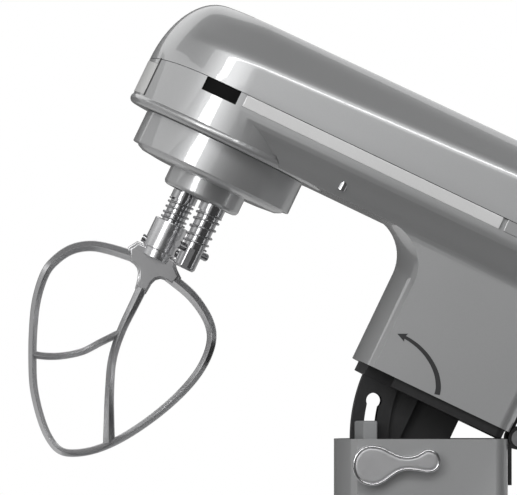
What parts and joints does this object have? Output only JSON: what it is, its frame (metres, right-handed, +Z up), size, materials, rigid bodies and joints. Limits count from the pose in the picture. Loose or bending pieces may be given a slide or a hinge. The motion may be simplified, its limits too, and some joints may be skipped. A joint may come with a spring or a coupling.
{
  "type": "stand mixer",
  "caption": "Silver stand mixer with a raised tilting head, planetary mixing drive, K-shaped beater, lift lever and speed dial.",
  "frame": {"origin": "on the table, below the middle of the mixer with its head raised", "axes": "+Z up, -X towards the nose, -Y on the lift lever's side"},
  "size_m": [0.4307, 0.22, 0.4538],
  "materials": {
    "silver_paint": "satin metallic",
    "band_silver": "satin metallic, lighter",
    "polished_alloy": "polished",
    "chrome": "polished",
    "steel": "ground",
    "dark_steel": "blackened",
    "black_plastic": "fine grain",
    "grey_plastic": "fine grain",
    "white_plastic": "smooth",
    "rubber": "matt",
    "copper": "lacquered wire",
    "bronze": "sintered",
    "board": "lacquered",
    "carbon": "pressed carbon"
  },
  "bodies": {
    "base": {"base_casting": "silver_paint", "base_plate": "black_plastic", "rubber_feet": "rubber", "base_screws": "dark_steel", "bowl_seat_ring": "dark_steel", "hinge_bracket": "black_plastic", "hinge_pin": "steel", "latch_block": "grey_plastic", "lever_bush": "black_plastic", "cord_gland": "black_plastic", "control_board": "board", "speed_switch": "black_plastic", "dial_scale": "chrome"},
    "head": {"head_cover": "silver_paint", "head_housing": "silver_paint", "front_cover": "silver_paint", "side_bands": "band_silver", "rear_band": "silver_paint", "name_plate": "white_plastic", "cover_catch": "black_plastic", "side_peg": "chrome", "column_plate": "black_plastic", "plate_screws": "dark_steel", "hinge_barrel": "black_plastic", "swing_arm": "black_plastic", "cable_duct": "black_plastic", "hub_drum": "silver_paint", "hub_disc": "silver_paint", "ring_gear": "steel", "carrier_bearing": "steel", "gearbox_bridge": "steel", "bridge_posts": "dark_steel", "top_bearing": "steel", "layshaft_bush": "bronze", "drive_belt": "rubber", "motor_stator": "steel", "motor_windings": "copper", "upper_bracket": "steel", "lower_bracket": "steel", "carbon_brushes": "carbon"},
    "lever": {"lift_lever": "steel", "lever_rim": "chrome", "lever_shaft": "steel"},
    "lock": {"lock_pin": "steel"},
    "dial": {"speed_dial": "silver_paint", "dial_cap": "black_plastic"},
    "rotor": {"motor_rotor": "copper", "rotor_shaft": "steel", "motor_pulley": "steel", "fan": "white_plastic"},
    "counter": {"layshaft": "steel", "pinion": "steel", "large_pulley": "steel"},
    "carrier": {"planet_carrier": "silver_paint", "main_gear": "steel", "spindle_springs": "chrome"},
    "front_tool": {"front_spindle": "chrome", "beater": "polished_alloy"},
    "rear_tool": {"rear_spindle": "chrome"}
  },
  "joints": [
    {"name": "head_tilt", "type": "hinge", "parent": "base", "child": "head", "pos_m": [0.147, 0, 0.172], "axis": [0, 1, 0], "range_deg": [-25.6, 0]},
    {"name": "lever_turn", "type": "hinge", "parent": "base", "child": "lever", "pos_m": [0.05208, -0.06, 0.15355], "axis": [0, 1, 0], "range_deg": [0, 30], "stiffness_Nm_per_rad": 0.2, "springref_deg": -17.19},
    {"name": "lock_slide", "type": "slide", "parent": "base", "child": "lock", "axis": [0, -1, 0], "range_m": [0, 0.0041]},
    {"name": "dial_turn", "type": "hinge", "parent": "base", "child": "dial", "pos_m": [0.085, -0.065, 0.091], "axis": [0, -1, 0], "range_deg": [0, 270]},
    {"name": "carrier_turn", "type": "hinge", "parent": "head", "child": "carrier", "pos_m": [-0.05479, 0, 0.33521], "axis": [0.4321, 0, 0.9018], "continuous": true},
    {"name": "front_tool_turn", "type": "hinge", "parent": "carrier", "child": "front_tool", "pos_m": [-0.06371, 0.0099, 0.33949], "axis": [0.4321, 0, 0.9018], "continuous": true},
    {"name": "rear_tool_turn", "type": "hinge", "parent": "carrier", "child": "rear_tool", "pos_m": [-0.04586, -0.0099, 0.33093], "axis": [0.4321, 0, 0.9018], "continuous": true},
    {"name": "counter_turn", "type": "hinge", "parent": "head", "child": "counter", "pos_m": [0.01957, 0, 0.35503], "axis": [0.4321, 0, 0.9018], "continuous": true},
    {"name": "rotor_turn", "type": "hinge", "parent": "head", "child": "rotor", "pos_m": [0.11656, 0, 0.25311], "axis": [0.4321, 0, 0.9018], "continuous": true}
  ],
  "couplings": [
    {"joint": "lock_slide", "follows": "lever_turn", "m_per_rad": 0.007639},
    {"joint": "front_tool_turn", "follows": "carrier_turn", "ratio": -2.75},
    {"joint": "rear_tool_turn", "follows": "carrier_turn", "ratio": -2.75},
    {"joint": "counter_turn", "follows": "carrier_turn", "ratio": -3.3333},
    {"joint": "rotor_turn", "follows": "carrier_turn", "ratio": -14.167}
  ]
}
